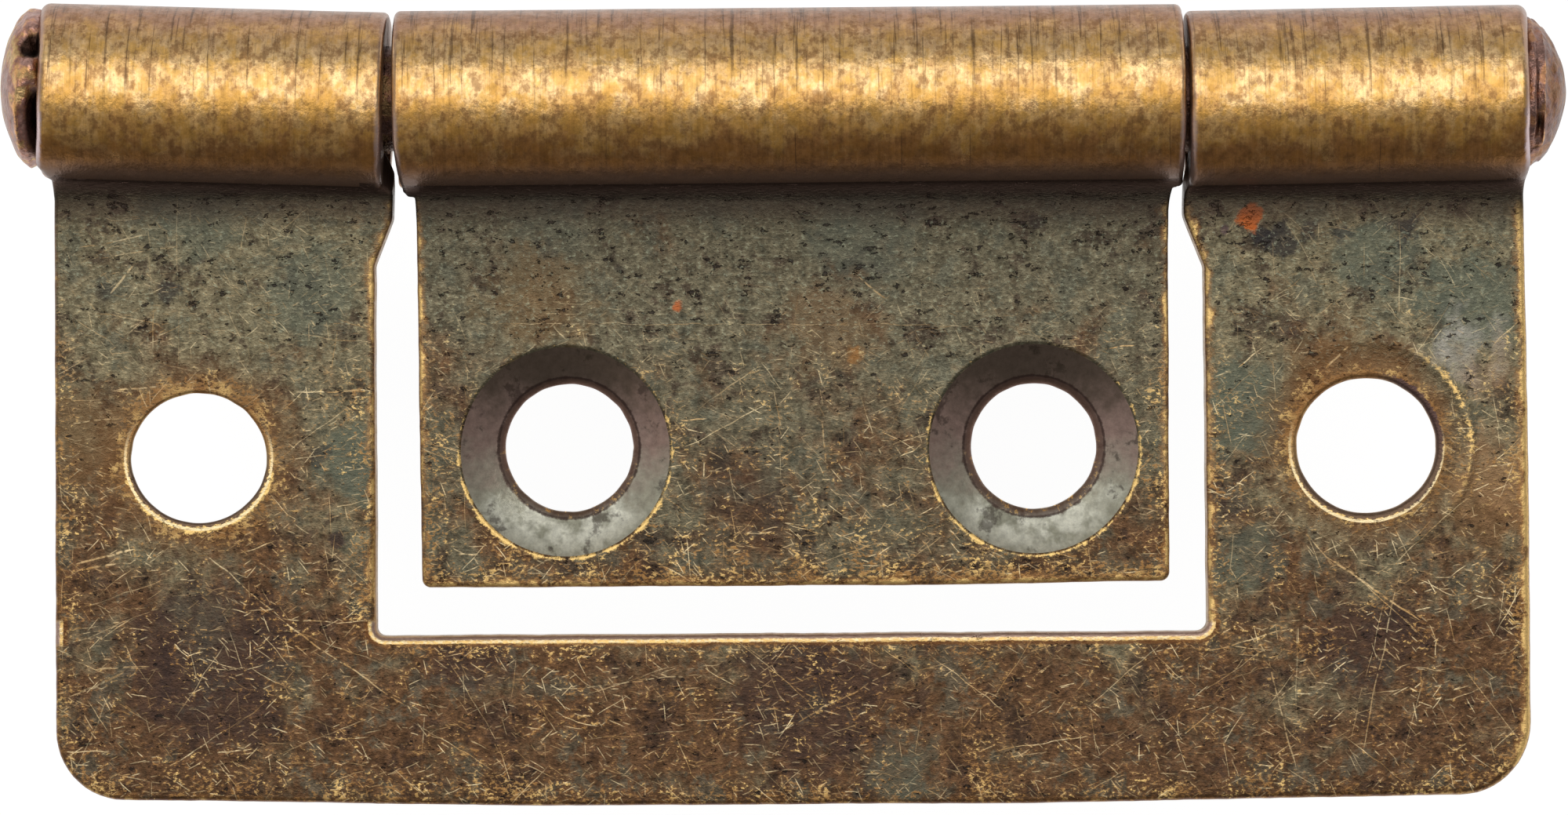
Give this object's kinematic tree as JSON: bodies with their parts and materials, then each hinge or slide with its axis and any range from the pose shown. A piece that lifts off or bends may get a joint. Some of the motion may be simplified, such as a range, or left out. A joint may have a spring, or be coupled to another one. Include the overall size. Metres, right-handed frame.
{
  "type": "flush hinge",
  "caption": "Flush hinge of aged brass: an inner leaf folds through the window of a framed outer leaf about a riveted pin.",
  "frame": {"origin": "under the middle of the closed hinge, level with the lowest line of the knuckles", "axes": "+X along the pin, +Y from the leaves' free edges towards the knuckles, +Z out of the closed hinge's front face"},
  "size_m": [0.0524, 0.0266, 0.0061],
  "materials": {
    "outer_leaf_brass": "aged olive-brown patina, finely scratched, golden where the edges are worn",
    "inner_leaf_brass": "aged olive-brown patina, finely scratched, bright rings round the countersinks",
    "pin_brass": "aged, with hammered heads worn to gold"
  },
  "bodies": {
    "outer_leaf": {"outer_leaf": "outer_leaf_brass", "hinge_pin": "pin_brass"},
    "inner_leaf": {"inner_leaf": "inner_leaf_brass"}
  },
  "joints": [
    {"name": "leaf_swing", "type": "hinge", "parent": "outer_leaf", "child": "inner_leaf", "pos_m": [0, 0.01022, 0.00305], "axis": [1, 0, 0], "continuous": true}
  ]
}
